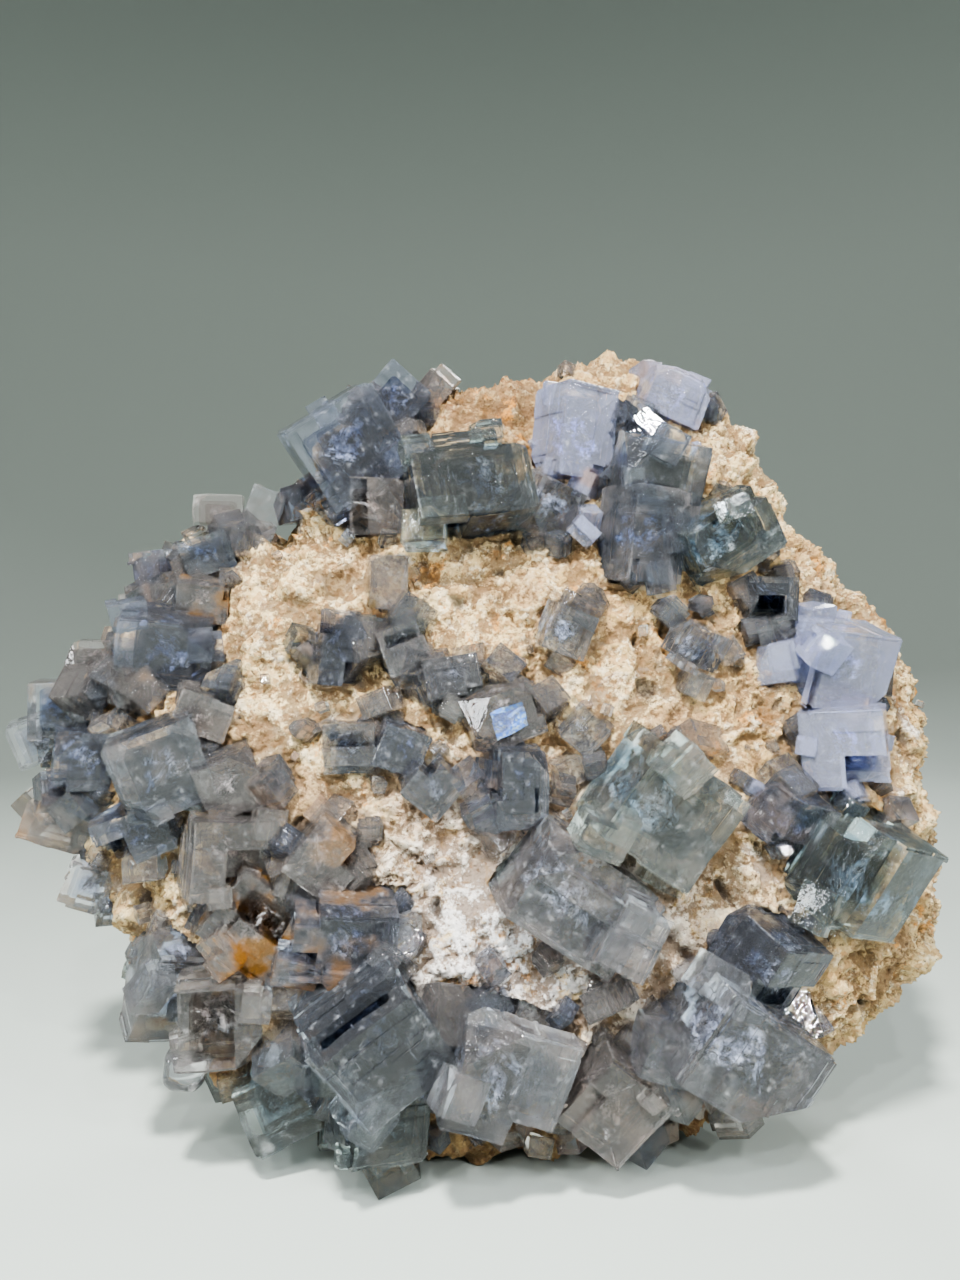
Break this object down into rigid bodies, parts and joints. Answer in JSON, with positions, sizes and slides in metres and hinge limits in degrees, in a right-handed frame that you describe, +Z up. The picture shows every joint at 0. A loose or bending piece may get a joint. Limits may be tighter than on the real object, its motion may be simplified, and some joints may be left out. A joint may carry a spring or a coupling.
{
  "type": "fluorite crystals on matrix",
  "caption": "Display mineral specimen: blue-grey cubic fluorite crystals grown on a domed piece of cream matrix rock, standing upright on a small flat spot.",
  "frame": {"origin": "middle of the small flat spot under the rock that it rests on", "axes": "+Z up, +X to the right across the crystal face, -Y out of the crystal face"},
  "size_m": [0.3079, 0.1369, 0.2575],
  "materials": {
    "matrix": "rough, granular and flaky cream to tan rock",
    "fluorite_smoky": "smoky brown-grey crystal, glassy faces",
    "fluorite_dark": "charcoal blue crystal, glassy faces",
    "fluorite_green": "clear greenish crystal with grey core, glassy faces",
    "fluorite_blue": "blue-grey crystal, glassy faces",
    "fluorite_lilac": "lilac-blue crystal, satin faces",
    "fluorite_clear": "colourless to pale grey crystal, glassy faces"
  },
  "bodies": {
    "root": {"matrix_rock": "matrix", "crown_lower": "fluorite_smoky", "shoulder_wide": "fluorite_smoky", "outer_brown": "fluorite_smoky", "outer_low": "fluorite_smoky", "left_grey": "fluorite_smoky", "left_mid": "fluorite_smoky", "left_edge": "fluorite_smoky", "frosted_tall": "fluorite_smoky", "frosted_low": "fluorite_smoky", "grey_upper": "fluorite_smoky", "heart_top": "fluorite_smoky", "lower_peak": "fluorite_smoky", "amber_peak": "fluorite_smoky", "smoky_block": "fluorite_smoky", "foot_pink": "fluorite_smoky", "crown_block": "fluorite_dark", "crown_peak": "fluorite_dark", "outer_dark": "fluorite_dark", "arch_crystal": "fluorite_dark", "left_dark": "fluorite_dark", "left_bar": "fluorite_dark", "dark_lower": "fluorite_dark", "heart_cube": "fluorite_dark", "heart_dark": "fluorite_dark", "foot_top": "fluorite_dark", "dark_blue": "fluorite_dark", "dark_glass": "fluorite_dark", "green_rimmed": "fluorite_green", "shoulder_block": "fluorite_green", "foot_low": "fluorite_green", "foot_pale": "fluorite_green", "keel_upper": "fluorite_green", "keel_lower": "fluorite_clear", "right_large": "fluorite_green", "dome_crystal": "fluorite_blue", "striped_block": "fluorite_blue", "shoulder_cube": "fluorite_blue", "shoulder_blue": "fluorite_blue", "left_tip": "fluorite_blue", "left_round": "fluorite_blue", "foot_block": "fluorite_blue", "lilac_shield": "fluorite_lilac", "crown_ridge": "fluorite_lilac", "right_dome": "fluorite_lilac", "right_lilac": "fluorite_lilac", "upper_peak": "fluorite_clear", "gable_prism": "fluorite_clear", "left_lobe": "fluorite_clear", "pale_lobe": "fluorite_clear", "pale_tall": "fluorite_clear", "pale_low": "fluorite_clear", "heart_round": "fluorite_clear", "heart_diamond": "fluorite_clear", "turned_cube": "fluorite_clear", "corner_cube": "fluorite_clear", "small_diamond": "fluorite_clear", "flank_prism": "fluorite_clear", "foot_mid": "fluorite_clear", "foot_right": "fluorite_clear"}
  },
  "joints": []
}
